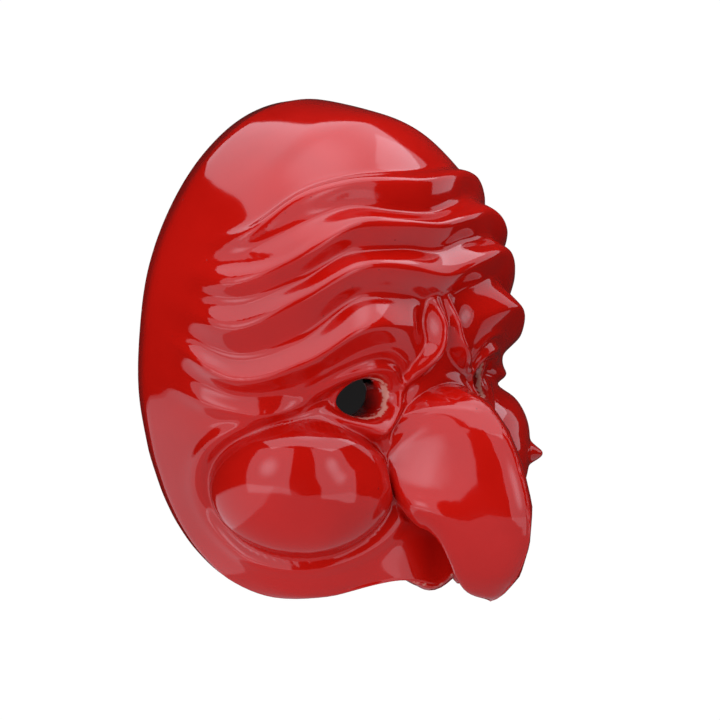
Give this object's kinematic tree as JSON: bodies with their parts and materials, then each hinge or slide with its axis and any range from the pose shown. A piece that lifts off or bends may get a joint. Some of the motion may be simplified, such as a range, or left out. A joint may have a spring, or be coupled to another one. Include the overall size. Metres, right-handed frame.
{
  "type": "half mask",
  "caption": "Hollow half mask with a long hooked nose, a deeply furrowed brow, open eyes and ball cheeks, glossy deep red.",
  "frame": {"origin": "middle of the bounding box, on the ground under the back edge the mask lies on", "axes": "+Z out of the face, +Y from the mouth towards the forehead, +X towards the wearer's left"},
  "size_m": [0.1628, 0.1764, 0.1135],
  "materials": {
    "red_lacquer": "high gloss deep red lacquer"
  },
  "bodies": {
    "root": {"mask": "red_lacquer"}
  },
  "joints": []
}
